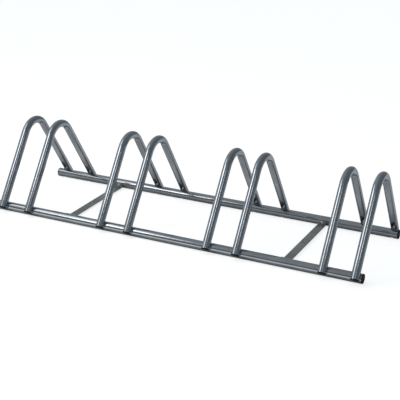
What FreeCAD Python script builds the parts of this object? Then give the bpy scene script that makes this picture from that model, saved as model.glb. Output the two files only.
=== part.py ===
import FreeCAD, Part
import os

# Floor bike rack for four bicycles: two round rails on the floor, eight bent tube
# hoops standing across them in pairs, and two flat cross bars low between the rails.
#
# Frame: X along the rails, Y from the front rail to the rear rail, Z up.
# The origin is on the floor, in the middle of the rack.  Lengths are millimetres.

doc = FreeCAD.newDocument("floor_bike_rack")

# ---------------------------------------------------------------------------
# Driving dimensions
# ---------------------------------------------------------------------------

SIZES = [
    # rails
    ("rail_length", 1182.0),
    ("rail_diameter", 28.0),
    ("rail_wall", 1.5),
    # hoops, seen from the side as an upturned V with a round top
    ("hoop_diameter", 24.0),
    ("hoop_wall", 1.5),
    ("hoop_height", 260.0),
    ("hoop_bend_radius", 60.0),
    ("leg_tail", 9.0),
    ("nest_depth", 7.1),
    ("saddle_clearance", 0.2),
    # places of the rails and of the hoops along them; the outermost hoops stand a little
    # in from the rails' ends, more at the left than at the right, and the pairs are
    # spread evenly between them
    ("rail_spacing", 340.0),
    ("tyre_gap", 69.0),
    ("left_hoop_inset", 23.5),
    ("right_hoop_inset", 15.5),
    # arched window and folded tongue near the foot of each leg
    ("window_width", 14.0),
    ("window_bottom", 16.0),
    ("window_top", 51.0),
    ("clamp_tilt", 20.0),
    ("tongue_width", 12.5),
    ("tongue_reach", 8.0),
    ("tongue_root", 9.0),
    ("seat_gap", 0.2),
    # clamp bolt and dome nut at each foot
    ("bolt_diameter", 6.0),
    ("bolt_length", 12.0),
    ("bolt_head_diameter", 10.0),
    ("bolt_head_height", 6.0),
    ("bolt_key", 5.0),
    ("bolt_key_depth", 3.0),
    ("bolt_hole_diameter", 6.6),
    ("access_hole_diameter", 12.0),
    ("nut_across_flats", 10.0),
    ("nut_hex_height", 6.5),
    ("nut_height", 12.0),
    ("nut_dome_diameter", 9.5),
    ("nut_bore_depth", 9.0),
    ("thread_clearance", 0.1),
    # black end caps of the rails and end plugs of the legs
    ("cap_rim", 3.0),
    ("cap_insert", 9.0),
    ("plug_rim", 3.0),
    ("plug_insert", 8.0),
    ("insert_clearance", 0.15),
    ("insert_wall", 2.0),
    ("cap_dish_depth", 0.8),
    ("cap_dish_border", 4.0),
    ("rim_rounding", 1.2),
    # cross bars
    ("left_bar_inset", 240.0),
    ("right_bar_inset", 232.0),
    ("bar_width", 25.0),
    ("bar_thickness", 3.0),
    ("bar_floor_gap", 5.2),
    ("bar_bend_radius", 1.0),
    ("tab_height", 17.0),
    ("tab_corner_radius", 4.0),
    ("floor_hole_diameter", 9.0),
    # screws and threaded inserts that hold the cross bars
    ("screw_diameter", 5.0),
    ("screw_length", 10.0),
    ("screw_hole_diameter", 5.5),
    ("screw_head_diameter", 9.5),
    ("screw_head_height", 2.75),
    ("screw_key", 3.0),
    ("screw_key_depth", 1.6),
    ("insert_flange_diameter", 10.0),
    ("insert_flange", 0.8),
    ("sleeve_diameter", 7.0),
    ("sleeve_length", 9.0),
    ("sleeve_collar_diameter", 9.0),
    ("sleeve_collar", 2.5),
    ("sleeve_clearance", 0.1),
]

BIKES = 4

sheet = doc.addObject("Spreadsheet::Sheet", "sizes")
for row, (alias, value) in enumerate(SIZES, start=1):
    sheet.set("A%d" % row, alias)
    sheet.set("B%d" % row, str(value))
    sheet.setAlias("B%d" % row, alias)
doc.recompute()


def size(alias):
    """The number that the sheet holds under this alias."""
    return float(sheet.get(alias))


# Derived lengths and angles, as expressions over the sheet.
CLAMP = "(sizes.clamp_tilt * 1 deg)"
RAIL_RADIUS = "(sizes.rail_diameter / 2)"
RAIL_Y = "(sizes.rail_spacing / 2)"
HOOP_RADIUS = "(sizes.hoop_diameter / 2)"
TOP_Z = f"(sizes.hoop_height - {HOOP_RADIUS})"
BEND_Z = f"({TOP_Z} - sizes.hoop_bend_radius)"
# the leg lies this far out from the rail, centre line to centre line
LEG_OFFSET = f"({RAIL_RADIUS} + {HOOP_RADIUS} - sizes.nest_depth)"
# lean of a leg from upright: it touches the bend and passes the rail at that offset
RISE = f"({BEND_Z} - {RAIL_RADIUS})"
TILT = (f"(acos((sizes.hoop_bend_radius - {LEG_OFFSET}) / sqrt({RAIL_Y} ^ 2 + {RISE} ^ 2))"
        f" - atan({RISE} / {RAIL_Y}))")
# where the bend runs out into the rear leg, on the tube's centre line
BEND_END_Y = f"(sizes.hoop_bend_radius * cos({TILT}))"
BEND_END_Z = f"({BEND_Z} + sizes.hoop_bend_radius * sin({TILT}))"
# the crossing: the point of the leg's centre line that is nearest to the rail
CROSS_Y = f"({RAIL_Y} + {LEG_OFFSET} * cos({TILT}))"
CROSS_Z = f"({RAIL_RADIUS} + {LEG_OFFSET} * sin({TILT}))"
LEG_END_Y = f"({CROSS_Y} + sizes.leg_tail * sin({TILT}))"
LEG_END_Z = f"({CROSS_Z} - sizes.leg_tail * cos({TILT}))"
LEG_LENGTH = f"(({BEND_END_Z} - {CROSS_Z}) / cos({TILT}) + sizes.leg_tail)"
# the tongue lies on the rail: its underside and its top, measured from the rail's centre
TONGUE_LOW = f"({RAIL_RADIUS} + sizes.seat_gap)"
TONGUE_TOP = f"({TONGUE_LOW} + sizes.hoop_wall)"
# the clamp bolt's head seats inside the rail, where its edge meets the round wall
RAIL_BORE = f"({RAIL_RADIUS} - sizes.rail_wall)"
HEAD_TOP = f"(sqrt({RAIL_BORE} ^ 2 - (sizes.bolt_head_diameter / 2) ^ 2) - sizes.seat_gap)"
# cross bar: outer face of its tabs, and the height of its underside and its screws
TAB_Y = f"({RAIL_Y} - {RAIL_RADIUS} - sizes.insert_flange)"
SCREW_Z = RAIL_RADIUS

X_AXIS = FreeCAD.Vector(1, 0, 0)
Y_AXIS = FreeCAD.Vector(0, 1, 0)
Z_AXIS = FreeCAD.Vector(0, 0, 1)

# ---------------------------------------------------------------------------
# Small helpers: each makes one document object whose sizes are expressions
# ---------------------------------------------------------------------------


def place(thing, at=("0", "0", "0"), axis=Z_AXIS, turn=None):
    """Put an object at a point and turn it about an axis, both by expression."""
    thing.Placement = FreeCAD.Placement(FreeCAD.Vector(), FreeCAD.Rotation(axis, 1))
    thing.setExpression("Placement.Rotation.Angle", turn or "0 deg")
    for letter, distance in zip("xyz", at):
        thing.setExpression("Placement.Base." + letter, distance)
    return thing


def cylinder(name, diameter, length, **where):
    rod = doc.addObject("Part::Cylinder", name)
    rod.setExpression("Radius", f"({diameter}) / 2")
    rod.setExpression("Height", length)
    return place(rod, **where)


def box(name, along_x, along_y, along_z, **where):
    block = doc.addObject("Part::Box", name)
    block.setExpression("Length", along_x)
    block.setExpression("Width", along_y)
    block.setExpression("Height", along_z)
    return place(block, **where)


def hexagon(name, across_flats, length, **where):
    bar = doc.addObject("Part::Prism", name)
    bar.Polygon = 6
    bar.setExpression("Circumradius", f"({across_flats}) / 2 / cos(30 deg)")
    bar.setExpression("Height", length)
    return place(bar, **where)


def ball(name, radius, **where):
    sphere = doc.addObject("Part::Sphere", name)
    sphere.setExpression("Radius", radius)
    return place(sphere, **where)


def fuse(name, *pieces):
    whole = doc.addObject("Part::MultiFuse", name)
    whole.Shapes = list(pieces)
    return whole


def cut(name, stock, *tools):
    rest = doc.addObject("Part::Cut", name)
    rest.Base = stock
    rest.Tool = tools[0] if len(tools) == 1 else fuse(name + "_tools", *tools)
    return rest


def common(name, first, second):
    overlap = doc.addObject("Part::Common", name)
    overlap.Base = first
    overlap.Tool = second
    return overlap


def copy_of(name, source, **where):
    """A placed copy of another object."""
    twin = doc.addObject("Part::Compound", name)
    twin.Links = [source]
    return place(twin, **where)


def rounded(name, source, edge_radii):
    """Fillet the edges that the rule edge_radii(edge) gives a radius for."""
    doc.recompute()
    fillet = doc.addObject("Part::Fillet", name)
    fillet.Base = source
    edges = []
    for number, edge in enumerate(source.Shape.Edges, start=1):
        radius = edge_radii(edge)
        if radius:
            edges.append((number, radius, radius))
    fillet.Edges = edges
    return fillet


SUBPARTS = []


def subpart(label, thing):
    """Name an object as one physical piece of the rack (or one set of like fasteners)."""
    thing.Label = label
    SUBPARTS.append(thing)
    return thing


# ---------------------------------------------------------------------------
# Places that repeat
# ---------------------------------------------------------------------------


RAIL_END = "(sizes.rail_length / 2)"
HALF_PAIR = "((sizes.tyre_gap + sizes.hoop_diameter) / 2)"
FIRST_PAIR = f"(sizes.left_hoop_inset + {HALF_PAIR} - {RAIL_END})"
LAST_PAIR = f"({RAIL_END} - sizes.right_hoop_inset - {HALF_PAIR})"


def hoop_places():
    """X of each hoop from left to right, as expressions: one pair per bicycle."""
    places = []
    for bike in range(BIKES):
        middle = f"{FIRST_PAIR} + {bike} / {BIKES - 1} * ({LAST_PAIR} - {FIRST_PAIR})"
        places.append(f"{middle} - {HALF_PAIR}")
        places.append(f"{middle} + {HALF_PAIR}")
    return places


HOOP_X = hoop_places()
BAR_X = [f"sizes.left_bar_inset - {RAIL_END}", f"{RAIL_END} - sizes.right_bar_inset"]
HALF_TURN = "180 deg"

# ---------------------------------------------------------------------------
# Hoop: bent tube, saddle-cut on the rails, with a window and a tongue at each foot
# ---------------------------------------------------------------------------


def hoop_rod(name, diameter):
    """A solid rod along the hoop's centre line: two straight legs and the round top."""
    circle = doc.addObject("Part::Circle", name + "_section")
    circle.setExpression("Radius", f"({diameter}) / 2")
    place(circle, at=("0", "0", TOP_Z), axis=X_AXIS, turn="90 deg")
    bend = doc.addObject("Part::Revolution", name + "_bend")
    bend.Source = circle
    bend.Axis = X_AXIS
    bend.setExpression("Base.z", BEND_Z)
    bend.setExpression("Angle", f"180 deg - 2 * {TILT}")
    bend.Symmetric = True
    bend.Solid = True
    rear = cylinder(name + "_rear_leg", diameter, LEG_LENGTH,
                    at=("0", LEG_END_Y, LEG_END_Z), axis=X_AXIS, turn=TILT)
    front = cylinder(name + "_front_leg", diameter, LEG_LENGTH,
                     at=("0", "-" + LEG_END_Y, LEG_END_Z), axis=-X_AXIS, turn=TILT)
    return fuse(name, bend, rear, front)


def rail_room(name):
    """The space that the rear rail takes with its clearance, across one leg."""
    reach = "sizes.hoop_diameter"
    return cylinder(name, "sizes.rail_diameter + 2 * sizes.saddle_clearance", f"2 * {reach}",
                    at=(f"-{reach}", RAIL_Y, RAIL_RADIUS), axis=Y_AXIS, turn="90 deg")


def window_cutter(name):
    """An arch through the inner wall of the rear leg, drawn on the leg's own axis."""
    half_width = "sizes.window_width / 2"
    spring = f"(sizes.window_top - {half_width})"
    slot = box(name + "_slot", "sizes.window_width", "sizes.hoop_diameter",
               f"{spring} - sizes.window_bottom",
               at=(f"-{half_width}", "-sizes.hoop_diameter", "sizes.window_bottom"))
    arch = cylinder(name + "_arch", "sizes.window_width", "sizes.hoop_diameter",
                    at=("0", "0", spring), axis=X_AXIS, turn="90 deg")
    outline = fuse(name + "_outline", slot, arch)
    return copy_of(name, outline, at=("0", CROSS_Y, CROSS_Z), axis=X_AXIS, turn=TILT)


def tongue(name):
    """The strip folded in from the window, flat on the rail, with its bolt hole."""
    half_width = "sizes.tongue_width / 2"
    straight = f"(sizes.tongue_reach - {half_width})"
    strip = box(name + "_strip", "sizes.tongue_width", f"sizes.tongue_root + {straight}",
                "sizes.hoop_wall", at=(f"-{half_width}", "-sizes.tongue_root", TONGUE_LOW))
    tip = cylinder(name + "_tip", "sizes.tongue_width", "sizes.hoop_wall",
                   at=("0", straight, TONGUE_LOW))
    hole = cylinder(name + "_hole", "sizes.bolt_hole_diameter", "sizes.hoop_height")
    blank = cut(name + "_blank", fuse(name + "_body", strip, tip), hole)
    return copy_of(name, blank, at=("0", RAIL_Y, RAIL_RADIUS), axis=-X_AXIS, turn=CLAMP)


def both_feet(name, rear_thing):
    """The rear foot's shape together with the same shape turned to the front foot."""
    front_thing = copy_of(name + "_front", rear_thing, turn=HALF_TURN)
    pair = doc.addObject("Part::Compound", name)
    pair.Links = [rear_thing, front_thing]
    return pair


def make_hoop():
    outer = hoop_rod("hoop_outside", "sizes.hoop_diameter")
    bore = hoop_rod("hoop_bore", "sizes.hoop_diameter - 2 * sizes.hoop_wall")
    tube = cut("hoop_tube", outer, bore)
    saddles = both_feet("hoop_saddles", rail_room("hoop_saddle"))
    windows = both_feet("hoop_windows", window_cutter("hoop_window"))
    notched = cut("hoop_notched", tube, saddles, windows)
    trimmed = common("hoop_tongue_in_tube", tongue("hoop_tongue"), outer)
    tongues = both_feet("hoop_tongues", trimmed)
    return fuse("hoop", notched, tongues)


# ---------------------------------------------------------------------------
# Rail: straight tube with the holes for its clamp bolts and cross bar inserts
# ---------------------------------------------------------------------------


def make_rail(name, hoop_places, bar_places):
    """A rail on the X axis; the hoops' feet hug its +Y side."""
    ends = ("-" + RAIL_END, "0", "0")
    outside = cylinder(f"{name}_outside", "sizes.rail_diameter", "sizes.rail_length",
                       at=ends, axis=Y_AXIS, turn="90 deg")
    bore = cylinder(f"{name}_bore", "sizes.rail_diameter - 2 * sizes.rail_wall",
                    "sizes.rail_length", at=ends, axis=Y_AXIS, turn="90 deg")
    holes = []
    for number, x in enumerate(hoop_places, start=1):
        bolt_hole = cylinder(f"{name}_bolt_hole_{number}", "sizes.bolt_hole_diameter",
                             "sizes.rail_diameter", at=(x, "0", "0"), axis=-X_AXIS, turn=CLAMP)
        access = cylinder(f"{name}_access_hole_{number}", "sizes.access_hole_diameter",
                          "sizes.rail_diameter",
                          at=(x, "0", "0"), axis=-X_AXIS, turn=f"{CLAMP} + 180 deg")
        holes += [bolt_hole, access]
    for number, x in enumerate(bar_places, start=1):
        holes.append(cylinder(f"{name}_insert_hole_{number}",
                              "sizes.sleeve_diameter + 2 * sizes.sleeve_clearance",
                              "sizes.rail_diameter", at=(x, "0", "0"), axis=X_AXIS, turn="90 deg"))
    return cut(name, outside, bore, *holes)


def mirrored(places):
    """The same places along X, counted from the other end."""
    return [f"-({x})" for x in places]


# ---------------------------------------------------------------------------
# Black plastic ends
# ---------------------------------------------------------------------------


def plug_blank(name, tube, tube_wall, rim, insert):
    """A plug on the Z axis: rim below z = 0, hollow insert above, dished face.

    The four sizes are named by their aliases in the sheet.
    """
    rounding = min(size("rim_rounding"), size(rim) / 2)
    tube, tube_wall, rim, insert = ["sizes." + alias for alias in (tube, tube_wall, rim, insert)]
    fit = f"({tube} - 2 * {tube_wall} - 2 * sizes.insert_clearance)"
    disc = cylinder(name + "_disc", tube, rim, at=("0", "0", f"-{rim}"))

    def face_edge(edge):
        is_face = all(vertex.Point.z < -rounding for vertex in edge.Vertexes)
        return rounding if is_face and edge.Closed else None

    face = rounded(name + "_rounded_disc", disc, face_edge)
    neck = cylinder(name + "_neck", fit, insert)
    dish = cylinder(name + "_dish", f"{tube} - 2 * sizes.cap_dish_border", "sizes.cap_dish_depth",
                    at=("0", "0", f"-{rim}"))
    hollow = cylinder(name + "_hollow", f"{fit} - 2 * sizes.insert_wall",
                      f"{insert} - sizes.insert_wall", at=("0", "0", "sizes.insert_wall"))
    return cut(name, fuse(name + "_solid", face, neck), dish, hollow)


def make_leg_plug():
    """The rear leg's plug, cut to the rail like the tube that it closes."""
    blank = plug_blank("leg_plug_blank", "hoop_diameter", "hoop_wall", "plug_rim", "plug_insert")
    seated = copy_of("leg_plug_seated", blank,
                     at=("0", LEG_END_Y, LEG_END_Z), axis=X_AXIS, turn=TILT)
    return cut("leg_plug", seated, rail_room("leg_plug_saddle"))


def make_rail_cap():
    """The cap of a rail's right-hand end, with its rim's inner face at x = 0."""
    blank = plug_blank("rail_cap_blank", "rail_diameter", "rail_wall", "cap_rim", "cap_insert")
    return copy_of("rail_cap", blank, axis=-Y_AXIS, turn="90 deg")


# ---------------------------------------------------------------------------
# Cross bar: flat strip with a tab bent up at each end
# ---------------------------------------------------------------------------


def make_cross_bar():
    width = "sizes.bar_width"
    thick = "sizes.bar_thickness"
    left = f"-{width} / 2"
    strip = box("bar_strip", width, f"2 * {TAB_Y}", thick, at=(left, f"-{TAB_Y}", "0"))
    rear_tab = box("bar_rear_tab", width, thick, "sizes.tab_height",
                   at=(left, f"{TAB_Y} - {thick}", "0"))
    front_tab = box("bar_front_tab", width, thick, "sizes.tab_height",
                    at=(left, f"-{TAB_Y}", "0"))
    folded = fuse("bar_folded", strip, rear_tab, front_tab)
    folded.Refine = True
    plate = size("bar_thickness")
    inner = size("bar_bend_radius")
    corner = size("tab_corner_radius")
    tab = size("tab_height")
    near = 0.01

    def bend_radius(edge):
        """Outside and inside of each fold, and the tabs' upper corners."""
        height = edge.CenterOfMass.z
        direction = edge.tangentAt(edge.FirstParameter)
        if abs(direction.x) > 1 - near and height < near:
            return inner + plate
        if abs(direction.x) > 1 - near and abs(height - plate) < near:
            return inner
        if abs(direction.y) > 1 - near and height > tab - near:
            return corner
        return None

    bent = rounded("bar_bent", folded, bend_radius)
    floor_hole = cylinder("bar_floor_hole", "sizes.floor_hole_diameter", thick)
    screw_holes = cylinder("bar_screw_holes", "sizes.screw_hole_diameter", f"2 * {TAB_Y}",
                           at=("0", TAB_Y, f"{SCREW_Z} - sizes.bar_floor_gap"),
                           axis=X_AXIS, turn="90 deg")
    return cut("cross_bar", bent, floor_hole, screw_holes)


# ---------------------------------------------------------------------------
# Fasteners, each drawn on the Z axis with its seat at z = 0
# ---------------------------------------------------------------------------


def make_clamp_bolt():
    """Socket head screw, head below z = 0."""
    head = cylinder("clamp_bolt_head", "sizes.bolt_head_diameter", "sizes.bolt_head_height",
                    at=("0", "0", "-sizes.bolt_head_height"))
    shank = cylinder("clamp_bolt_shank", "sizes.bolt_diameter", "sizes.bolt_length")
    socket = hexagon("clamp_bolt_socket", "sizes.bolt_key", "sizes.bolt_key_depth",
                     at=("0", "0", "-sizes.bolt_head_height"))
    return cut("clamp_bolt", fuse("clamp_bolt_solid", head, shank), socket)


def make_dome_nut():
    """Hexagon nut closed by a round dome."""
    dome_radius = "(sizes.nut_dome_diameter / 2)"
    flats = hexagon("dome_nut_flats", "sizes.nut_across_flats", "sizes.nut_hex_height")
    neck = cylinder("dome_nut_neck", "sizes.nut_dome_diameter",
                    f"sizes.nut_height - {dome_radius}")
    dome = ball("dome_nut_dome", dome_radius, at=("0", "0", f"sizes.nut_height - {dome_radius}"))
    bore = cylinder("dome_nut_bore", "sizes.bolt_diameter + 2 * sizes.thread_clearance",
                    "sizes.nut_bore_depth")
    return cut("dome_nut", fuse("dome_nut_solid", flats, neck, dome), bore)


def make_bar_screw():
    """Button head screw, head above z = 0 and shank below."""
    half = "(sizes.screw_head_diameter / 2)"
    rise = "sizes.screw_head_height"
    crown = f"(({half} ^ 2 + {rise} ^ 2) / (2 * {rise}))"
    crown_ball = ball("bar_screw_crown", crown, at=("0", "0", f"{rise} - {crown}"))
    blank = cylinder("bar_screw_head_blank", "sizes.screw_head_diameter", rise)
    head = common("bar_screw_head", blank, crown_ball)
    shank = cylinder("bar_screw_shank", "sizes.screw_diameter", "sizes.screw_length",
                     at=("0", "0", "-sizes.screw_length"))
    socket = hexagon("bar_screw_socket", "sizes.screw_key", "sizes.screw_key_depth",
                     at=("0", "0", f"{rise} - sizes.screw_key_depth"))
    return cut("bar_screw", fuse("bar_screw_solid", head, shank), socket)


def make_threaded_insert():
    """Flanged sleeve riveted into the rail's wall: flange above z = 0, collar behind the wall."""
    flange = cylinder("insert_flange_disc", "sizes.insert_flange_diameter", "sizes.insert_flange")
    sleeve = cylinder("insert_sleeve", "sizes.sleeve_diameter", "sizes.sleeve_length",
                      at=("0", "0", "-sizes.sleeve_length"))
    wall_reach = (f"({RAIL_RADIUS} - sqrt({RAIL_BORE} ^ 2 - (sizes.sleeve_collar_diameter / 2) ^ 2)"
                  " + sizes.seat_gap)")
    collar = cylinder("insert_collar", "sizes.sleeve_collar_diameter", "sizes.sleeve_collar",
                      at=("0", "0", f"-{wall_reach} - sizes.sleeve_collar"))
    bore = cylinder("insert_bore", "sizes.screw_diameter + 2 * sizes.thread_clearance",
                    "sizes.insert_flange + sizes.sleeve_length",
                    at=("0", "0", "-sizes.sleeve_length"))
    return cut("threaded_insert", fuse("threaded_insert_solid", flange, sleeve, collar), bore)


def group_at_feet(label, on_rail):
    """One copy at every foot of every hoop, from a shape drawn about the rail's centre."""
    members = []
    for number, x in enumerate(HOOP_X, start=1):
        members.append(copy_of(f"{label}_rear_{number}", on_rail, at=(x, RAIL_Y, RAIL_RADIUS)))
        members.append(copy_of(f"{label}_front_{number}", on_rail,
                               at=(x, "-" + RAIL_Y, RAIL_RADIUS), turn=HALF_TURN))
    return subpart(label, group_of(label, members))


def group_at_bar_ends(label, at_rear_end):
    """One copy at both ends of both cross bars."""
    members = []
    for number, x in enumerate(BAR_X, start=1):
        members.append(copy_of(f"{label}_rear_{number}", at_rear_end, at=(x, "0", "0")))
        members.append(copy_of(f"{label}_front_{number}", at_rear_end,
                               at=(x, "0", "0"), turn=HALF_TURN))
    return subpart(label, group_of(label, members))


def group_of(name, members):
    group = doc.addObject("Part::Compound", name + "_set")
    group.Links = members
    return group


# ---------------------------------------------------------------------------
# The rack
# ---------------------------------------------------------------------------

# the front rail is drawn like the rear one and then turned about, so that its hoops'
# feet hug it from the front
rear_rail = make_rail("rear_rail_drawn", HOOP_X, BAR_X)
front_rail = make_rail("front_rail_drawn", mirrored(HOOP_X), mirrored(BAR_X))
subpart("rear_rail", copy_of("rear_rail_tube", rear_rail, at=("0", RAIL_Y, RAIL_RADIUS)))
subpart("front_rail", copy_of("front_rail_tube", front_rail,
                              at=("0", "-" + RAIL_Y, RAIL_RADIUS), turn=HALF_TURN))

rail_cap = make_rail_cap()
for row_name, row_y in (("front", "-" + RAIL_Y), ("rear", RAIL_Y)):
    subpart(f"{row_name}_rail_right_cap",
            copy_of(f"{row_name}_right_cap", rail_cap,
                    at=(RAIL_END, row_y, RAIL_RADIUS)))
    subpart(f"{row_name}_rail_left_cap",
            copy_of(f"{row_name}_left_cap", rail_cap,
                    at=("-" + RAIL_END, row_y, RAIL_RADIUS), turn=HALF_TURN))

hoop = make_hoop()
leg_plug = make_leg_plug()
for number, x in enumerate(HOOP_X, start=1):
    subpart(f"hoop_{number}", copy_of(f"hoop_tube_{number}", hoop, at=(x, "0", "0")))
    subpart(f"hoop_{number}_rear_plug", copy_of(f"rear_plug_{number}", leg_plug, at=(x, "0", "0")))
    subpart(f"hoop_{number}_front_plug",
            copy_of(f"front_plug_{number}", leg_plug, at=(x, "0", "0"), turn=HALF_TURN))

bolt_on_rail = copy_of("clamp_bolt_tilted", make_clamp_bolt(),
                       at=("0", f"{HEAD_TOP} * sin({CLAMP})", f"{HEAD_TOP} * cos({CLAMP})"),
                       axis=-X_AXIS, turn=CLAMP)
nut_on_rail = copy_of("dome_nut_tilted", make_dome_nut(),
                      at=("0", f"{TONGUE_TOP} * sin({CLAMP})", f"{TONGUE_TOP} * cos({CLAMP})"),
                      axis=-X_AXIS, turn=CLAMP)
group_at_feet("hoop_clamp_bolts", bolt_on_rail)
group_at_feet("hoop_dome_nuts", nut_on_rail)

cross_bar = make_cross_bar()
for side, x in zip(("left", "right"), BAR_X):
    subpart(f"{side}_cross_bar", copy_of(f"{side}_bar", cross_bar, at=(x, "0", "sizes.bar_floor_gap")))

screw_at_end = copy_of("bar_screw_turned", make_bar_screw(),
                       at=("0", f"{TAB_Y} - sizes.bar_thickness", SCREW_Z),
                       axis=X_AXIS, turn="90 deg")
insert_at_end = copy_of("insert_turned", make_threaded_insert(),
                        at=("0", f"{TAB_Y} + sizes.insert_flange", SCREW_Z),
                        axis=X_AXIS, turn="90 deg")
group_at_bar_ends("cross_bar_screws", screw_at_end)
group_at_bar_ends("cross_bar_inserts", insert_at_end)

# ---------------------------------------------------------------------------
# Check and export
# ---------------------------------------------------------------------------

doc.recompute()

for thing in doc.Objects:
    if "Invalid" in thing.State or "Error" in thing.State:
        raise RuntimeError("failed object: " + thing.Name)

os.makedirs("parts", exist_ok=True)
for thing in SUBPARTS:
    shape = thing.Shape
    if shape.isNull() or not shape.isValid() or not shape.Solids:
        raise RuntimeError("bad shape: " + thing.Label)
    solids = shape.Solids
    piece = solids[0] if len(solids) == 1 else Part.makeCompound(solids)
    piece.exportStep("parts/" + thing.Label + ".step")
    room = shape.optimalBoundingBox()
    print("%-24s %3d solids  %10.1f mm3  x %.1f..%.1f  y %.1f..%.1f  z %.1f..%.1f" % (
        thing.Label, len(solids), shape.Volume,
        room.XMin, room.XMax, room.YMin, room.YMax, room.ZMin, room.ZMax))
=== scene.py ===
import math

import bmesh
import bpy
import numpy as np
from mathutils import Matrix, Vector


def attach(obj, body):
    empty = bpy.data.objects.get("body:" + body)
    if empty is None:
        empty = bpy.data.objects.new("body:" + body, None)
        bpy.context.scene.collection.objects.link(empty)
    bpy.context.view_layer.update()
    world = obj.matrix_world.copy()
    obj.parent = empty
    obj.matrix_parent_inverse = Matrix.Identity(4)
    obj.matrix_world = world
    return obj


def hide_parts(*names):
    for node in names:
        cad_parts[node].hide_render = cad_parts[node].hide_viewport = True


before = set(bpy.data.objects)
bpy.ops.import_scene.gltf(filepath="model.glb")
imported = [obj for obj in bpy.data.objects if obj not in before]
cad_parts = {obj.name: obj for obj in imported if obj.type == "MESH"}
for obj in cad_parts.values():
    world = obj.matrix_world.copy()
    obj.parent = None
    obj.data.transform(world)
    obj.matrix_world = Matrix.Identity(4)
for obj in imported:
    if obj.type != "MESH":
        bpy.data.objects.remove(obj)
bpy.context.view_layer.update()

# Looks for a floor bike rack: two rails, eight tube hoops, two flat cross bars, black
# plastic ends and the clamp fasteners.  Metres; X along the rails, Y to the rear, Z up.

MM = 0.001

# ---------------------------------------------------------------------------
# Sizes
# ---------------------------------------------------------------------------

RAIL_LENGTH = 1182 * MM
RAIL_R = 14 * MM
RAIL_BORE_R = 12.5 * MM
RAIL_Y = 170 * MM

HOOP_R = 12 * MM
HOOP_BORE_R = 10.5 * MM
HOOP_HEIGHT = 260 * MM
BEND_R = 60 * MM
LEG_TAIL = 9 * MM
NEST_DEPTH = 7.1 * MM
SADDLE_R = RAIL_R + 0.2 * MM
BEND_FLATTENING = 0.35 * MM

TYRE_GAP = 69 * MM
LEFT_HOOP_INSET = 23.5 * MM
RIGHT_HOOP_INSET = 15.5 * MM
BIKES = 4

WINDOW_HALF = 7 * MM
WINDOW_BOTTOM = 16 * MM
WINDOW_SPRING = 44 * MM
FOOT_TOP = 56 * MM

CLAMP_TILT = math.radians(20)
TONGUE_HALF = 6.25 * MM
TONGUE_REACH = 8 * MM
TONGUE_ROOT = 7.4 * MM
TONGUE_LOW = RAIL_R + 0.2 * MM
TONGUE_TOP = TONGUE_LOW + 1.5 * MM
TONGUE_HOLE_R = 3.3 * MM

ACCESS_HOLE_R = 6 * MM
BOLT_HOLE_R = 3.3 * MM
SLEEVE_HOLE_R = 3.6 * MM

BOLT_HEAD_R = 5 * MM
BOLT_HEAD_GAP = 0.2 * MM
BOLT_HEAD_TOP = math.sqrt(RAIL_BORE_R ** 2 - BOLT_HEAD_R ** 2) - BOLT_HEAD_GAP

CAP_RIM = 3 * MM
CAP_INSERT = 9 * MM
CAP_RIBS = 4
PLUG_RIM = 3 * MM
PLUG_INSERT = 8 * MM
INSERT_CLEARANCE = 0.15 * MM
RIM_ROUNDING = 1.2 * MM
DISH_BORDER = 4 * MM
DISH_DEPTH = 0.8 * MM

LEFT_BAR_INSET = 240 * MM
RIGHT_BAR_INSET = 232 * MM
BAR_WIDTH = 25 * MM
BAR_THICK = 3 * MM
BAR_LOW = 5.2 * MM
BAR_TOP = 22.2 * MM
BAR_EDGE_R = 0.7 * MM
BAR_FOLD_R = 1 * MM
BAR_CORNER_R = 4 * MM
BAR_HOLE_R = 4.5 * MM
FLANGE = 0.8 * MM
SCREW_Z = RAIL_R
BAR_END_Y = RAIL_Y - RAIL_R - FLANGE

TOP_Z = HOOP_HEIGHT - HOOP_R
BEND_Z = TOP_Z - BEND_R
LEG_OFFSET = RAIL_R + HOOP_R - NEST_DEPTH
RISE = BEND_Z - RAIL_R
TILT = math.acos((BEND_R - LEG_OFFSET) / math.hypot(RAIL_Y, RISE)) - math.atan2(RISE, RAIL_Y)
CROSS_Y = RAIL_Y + LEG_OFFSET * math.cos(TILT)
CROSS_Z = RAIL_R + LEG_OFFSET * math.sin(TILT)
LEG_TOP = (BEND_Z + BEND_R * math.sin(TILT) - CROSS_Z) / math.cos(TILT)

HALF_PAIR = TYRE_GAP / 2 + HOOP_R
FIRST_PAIR = LEFT_HOOP_INSET + HALF_PAIR - RAIL_LENGTH / 2
LAST_PAIR = RAIL_LENGTH / 2 - RIGHT_HOOP_INSET - HALF_PAIR
HOOP_X = []
for middle in np.linspace(FIRST_PAIR, LAST_PAIR, BIKES):
    HOOP_X += [middle - HALF_PAIR, middle + HALF_PAIR]
BAR_X = (LEFT_BAR_INSET - RAIL_LENGTH / 2, RAIL_LENGTH / 2 - RIGHT_BAR_INSET)

# ---------------------------------------------------------------------------
# Mesh kit
# ---------------------------------------------------------------------------

SHARP = math.radians(32)
WELD = 2e-6


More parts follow.
